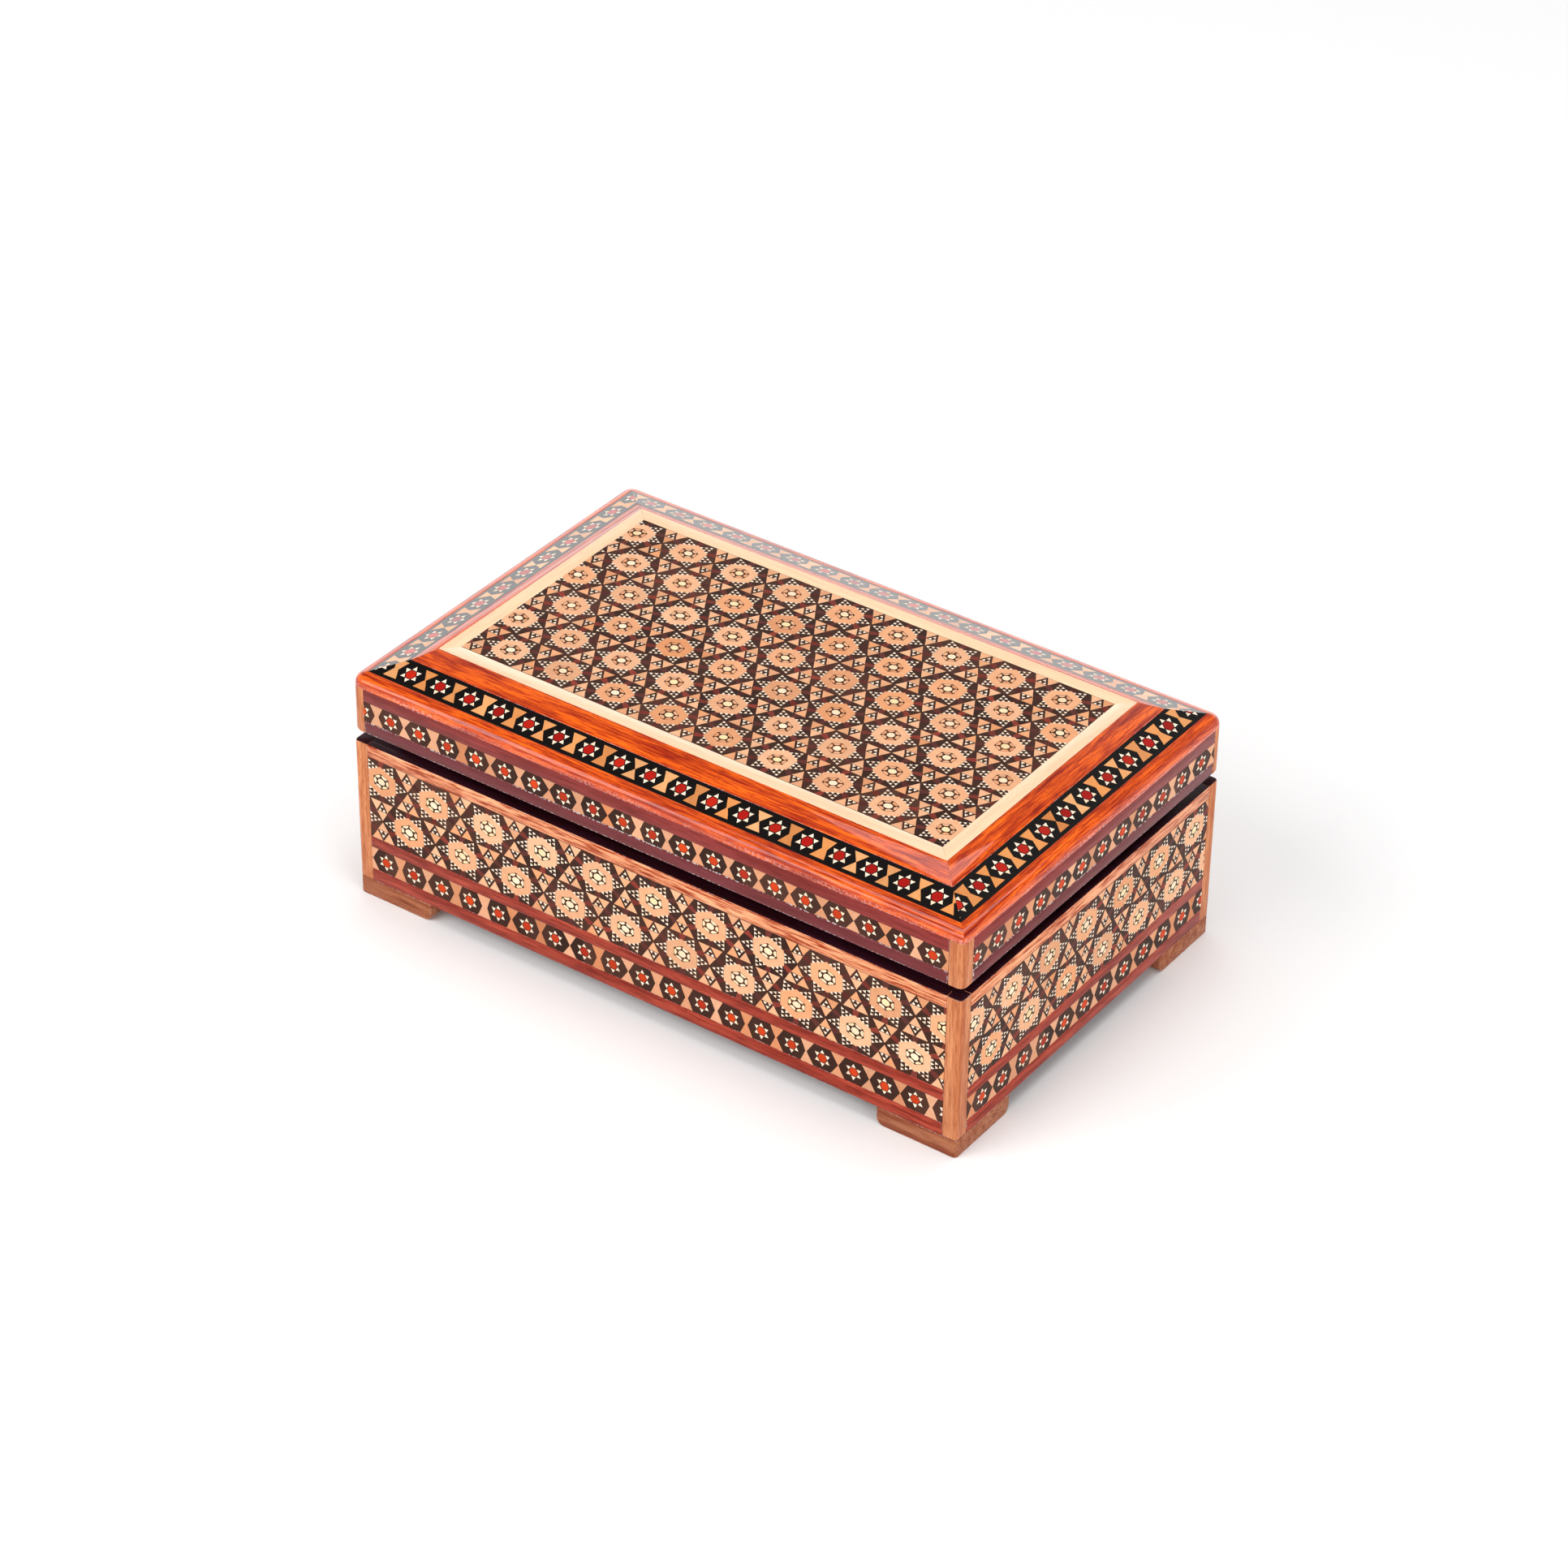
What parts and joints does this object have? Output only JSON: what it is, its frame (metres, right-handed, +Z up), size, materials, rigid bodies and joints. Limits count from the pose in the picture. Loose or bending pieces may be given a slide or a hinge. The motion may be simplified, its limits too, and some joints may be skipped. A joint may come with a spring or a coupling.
{
  "type": "inlaid wooden box",
  "caption": "Rectangular hinged wooden box with inlaid star marquetry, a raised sloping lid and low bracket feet.",
  "frame": {"origin": "middle of the footprint, on the surface the feet stand on", "axes": "+X along the long side to the right, +Y to the hinged back, +Z up; the front faces -Y"},
  "size_m": [0.16, 0.1, 0.0624],
  "materials": {
    "stained_lining": "wine-stained, thin lacquer",
    "core_wood": "plain, lacquered at the rim",
    "khatam_inlay": "gloss lacquer over inlay",
    "salmon_wood": "gloss lacquer, fine grain",
    "maroon_wood": "gloss lacquer",
    "plum_wood": "gloss lacquer",
    "star_inlay": "gloss lacquer over inlay",
    "post_wood": "satin lacquer",
    "foot_wood": "thin lacquer, slightly rough",
    "orange_wood": "high gloss lacquer, strong grain",
    "cream_wood": "gloss lacquer",
    "hinge_brass": "dull brass"
  },
  "bodies": {
    "base": {"base_floor": "stained_lining", "base_wall_front": "core_wood", "base_wall_right": "core_wood", "base_wall_back": "core_wood", "base_wall_left": "core_wood", "base_lining_front": "stained_lining", "base_lining_right": "stained_lining", "base_lining_back": "stained_lining", "base_lining_left": "stained_lining", "base_khatam_front": "khatam_inlay", "base_khatam_right": "khatam_inlay", "base_khatam_back": "khatam_inlay", "base_khatam_left": "khatam_inlay", "base_salmon_strips": "salmon_wood", "base_rail_strips": "maroon_wood", "base_star_strips": "star_inlay", "base_sill_strips": "maroon_wood", "base_posts": "post_wood", "foot_front_left": "foot_wood", "foot_front_right": "foot_wood", "foot_back_left": "foot_wood", "foot_back_right": "foot_wood", "hinge_base_leaf_left": "hinge_brass", "hinge_base_leaf_right": "hinge_brass", "hinge_pin_left": "hinge_brass", "hinge_pin_right": "hinge_brass", "base_tacks": "hinge_brass"},
    "lid": {"lid_board": "core_wood", "lid_wall_front": "core_wood", "lid_wall_right": "core_wood", "lid_wall_back": "core_wood", "lid_wall_left": "core_wood", "lid_lining_front": "stained_lining", "lid_lining_right": "stained_lining", "lid_lining_back": "stained_lining", "lid_lining_left": "stained_lining", "lid_maroon_strips": "maroon_wood", "lid_star_strips": "star_inlay", "lid_plum_strips": "plum_wood", "lid_posts": "post_wood", "lid_edge_front": "orange_wood", "lid_edge_right": "orange_wood", "lid_edge_back": "orange_wood", "lid_edge_left": "orange_wood", "lid_band_front": "star_inlay", "lid_band_right": "star_inlay", "lid_band_back": "star_inlay", "lid_band_left": "star_inlay", "lid_slope_front": "orange_wood", "lid_slope_right": "orange_wood", "lid_slope_back": "orange_wood", "lid_slope_left": "orange_wood", "lid_cream_front": "cream_wood", "lid_cream_right": "cream_wood", "lid_cream_back": "cream_wood", "lid_cream_left": "cream_wood", "lid_khatam_top": "khatam_inlay", "hinge_lid_leaf_left": "hinge_brass", "hinge_lid_leaf_right": "hinge_brass", "lid_tacks": "hinge_brass"}
  },
  "joints": [
    {"name": "lid_hinge", "type": "hinge", "parent": "base", "child": "lid", "pos_m": [0, 0.0485, 0.04225], "axis": [-1, 0, 0], "range_deg": [0, 100]}
  ]
}
